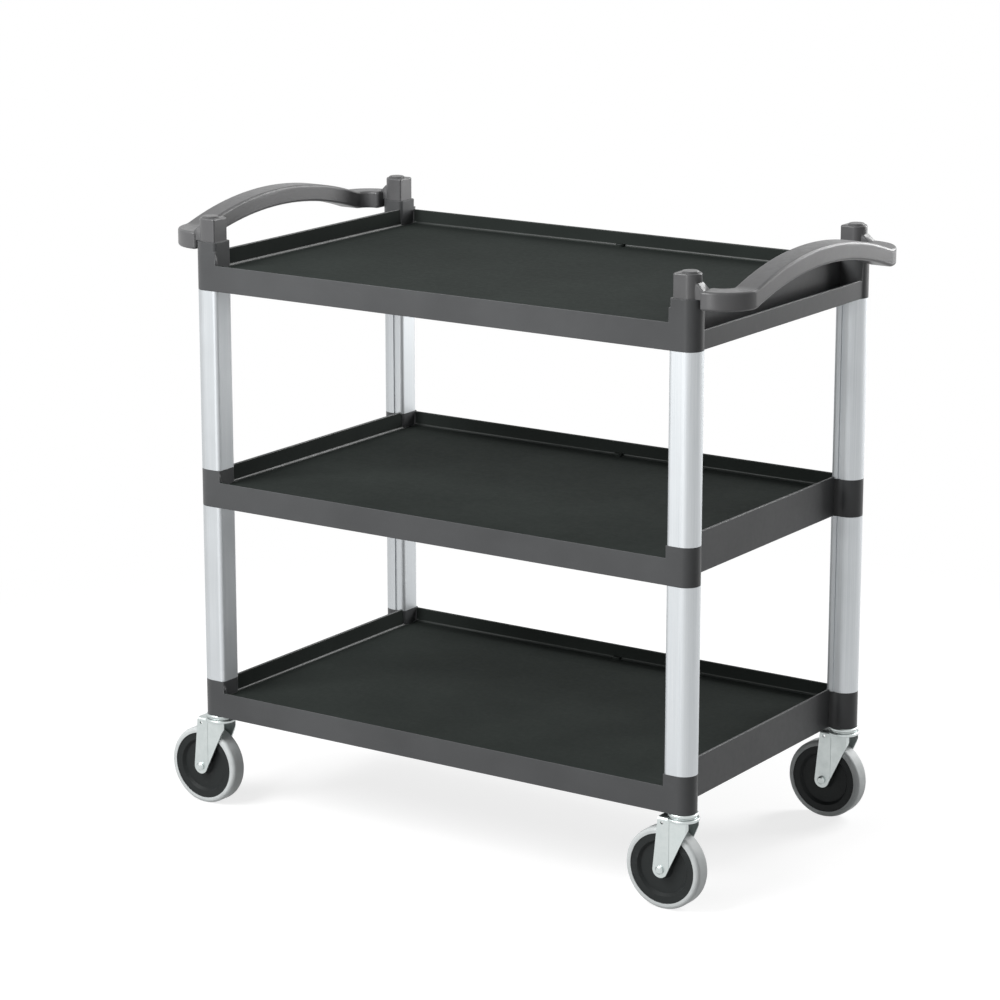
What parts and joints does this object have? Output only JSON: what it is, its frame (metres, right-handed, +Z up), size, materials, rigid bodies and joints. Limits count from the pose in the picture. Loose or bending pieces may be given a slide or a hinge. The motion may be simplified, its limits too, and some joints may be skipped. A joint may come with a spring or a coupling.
{
  "type": "utility cart",
  "caption": "Open utility cart with moulded tray shelves on aluminium corner posts, a bow handle at each end and swivel casters under the corners.",
  "frame": {"origin": "on the floor under the middle of the overall box", "axes": "+X along the cart towards its right end, +Z up, the low loading lips of the shelves face -Y"},
  "size_m": [1.0434, 0.5482, 0.9709],
  "materials": {
    "shelf_plastic": "fine moulded grain, charcoal black",
    "handle_plastic": "satin, charcoal black",
    "cap_plastic": "satin, black",
    "post_aluminium": "extruded, satin anodised",
    "caster_zinc": "pressed steel, bright zinc plate",
    "fastener_steel": "zinc plated",
    "wheel_plastic": "moulded, black",
    "wheel_tyre": "smooth, light grey"
  },
  "bodies": {
    "frame": {"bottom_shelf": "shelf_plastic", "middle_shelf": "shelf_plastic", "top_shelf": "shelf_plastic", "left_handle": "handle_plastic", "right_handle": "handle_plastic", "lower_post_front_left": "post_aluminium", "upper_post_front_left": "post_aluminium", "collar_cap_front_left": "cap_plastic", "tie_rod_front_left": "fastener_steel", "caster_stem_front_left": "caster_zinc", "caster_swivel_bearing_front_left": "fastener_steel", "lower_post_front_right": "post_aluminium", "upper_post_front_right": "post_aluminium", "collar_cap_front_right": "cap_plastic", "tie_rod_front_right": "fastener_steel", "caster_stem_front_right": "caster_zinc", "caster_swivel_bearing_front_right": "fastener_steel", "lower_post_rear_left": "post_aluminium", "upper_post_rear_left": "post_aluminium", "collar_cap_rear_left": "cap_plastic", "tie_rod_rear_left": "fastener_steel", "caster_stem_rear_left": "caster_zinc", "caster_swivel_bearing_rear_left": "fastener_steel", "lower_post_rear_right": "post_aluminium", "upper_post_rear_right": "post_aluminium", "collar_cap_rear_right": "cap_plastic", "tie_rod_rear_right": "fastener_steel", "caster_stem_rear_right": "caster_zinc", "caster_swivel_bearing_rear_right": "fastener_steel", "tie_rod_nuts": "fastener_steel", "tie_rod_washers": "fastener_steel", "caster_sockets": "fastener_steel"},
    "caster_front_left": {"caster_fork_front_left": "caster_zinc", "caster_axle_bolt_front_left": "fastener_steel", "caster_axle_nut_front_left": "fastener_steel", "caster_axle_sleeve_front_left": "fastener_steel"},
    "wheel_front_left": {"caster_wheel_core_front_left": "wheel_plastic", "caster_wheel_tyre_front_left": "wheel_tyre"},
    "caster_front_right": {"caster_fork_front_right": "caster_zinc", "caster_axle_bolt_front_right": "fastener_steel", "caster_axle_nut_front_right": "fastener_steel", "caster_axle_sleeve_front_right": "fastener_steel"},
    "wheel_front_right": {"caster_wheel_core_front_right": "wheel_plastic", "caster_wheel_tyre_front_right": "wheel_tyre"},
    "caster_rear_left": {"caster_fork_rear_left": "caster_zinc", "caster_axle_bolt_rear_left": "fastener_steel", "caster_axle_nut_rear_left": "fastener_steel", "caster_axle_sleeve_rear_left": "fastener_steel"},
    "wheel_rear_left": {"caster_wheel_core_rear_left": "wheel_plastic", "caster_wheel_tyre_rear_left": "wheel_tyre"},
    "caster_rear_right": {"caster_fork_rear_right": "caster_zinc", "caster_axle_bolt_rear_right": "fastener_steel", "caster_axle_nut_rear_right": "fastener_steel", "caster_axle_sleeve_rear_right": "fastener_steel"},
    "wheel_rear_right": {"caster_wheel_core_rear_right": "wheel_plastic", "caster_wheel_tyre_rear_right": "wheel_tyre"}
  },
  "joints": [
    {"name": "swivel_front_left", "type": "hinge", "parent": "frame", "child": "caster_front_left", "pos_m": [-0.43125, -0.249, 0.1465], "axis": [0, 0, 1], "continuous": true},
    {"name": "spin_front_left", "type": "hinge", "parent": "caster_front_left", "child": "wheel_front_left", "pos_m": [-0.45825, -0.249, 0.0635], "axis": [0, 1, 0], "continuous": true},
    {"name": "swivel_front_right", "type": "hinge", "parent": "frame", "child": "caster_front_right", "pos_m": [0.43675, -0.249, 0.1465], "axis": [0, 0, 1], "continuous": true},
    {"name": "spin_front_right", "type": "hinge", "parent": "caster_front_right", "child": "wheel_front_right", "pos_m": [0.40975, -0.249, 0.0635], "axis": [0, 1, 0], "continuous": true},
    {"name": "swivel_rear_left", "type": "hinge", "parent": "frame", "child": "caster_rear_left", "pos_m": [-0.43125, 0.249, 0.1465], "axis": [0, 0, 1], "continuous": true},
    {"name": "spin_rear_left", "type": "hinge", "parent": "caster_rear_left", "child": "wheel_rear_left", "pos_m": [-0.45825, 0.249, 0.0635], "axis": [0, 1, 0], "continuous": true},
    {"name": "swivel_rear_right", "type": "hinge", "parent": "frame", "child": "caster_rear_right", "pos_m": [0.43675, 0.249, 0.1465], "axis": [0, 0, 1], "continuous": true},
    {"name": "spin_rear_right", "type": "hinge", "parent": "caster_rear_right", "child": "wheel_rear_right", "pos_m": [0.40975, 0.249, 0.0635], "axis": [0, 1, 0], "continuous": true}
  ]
}
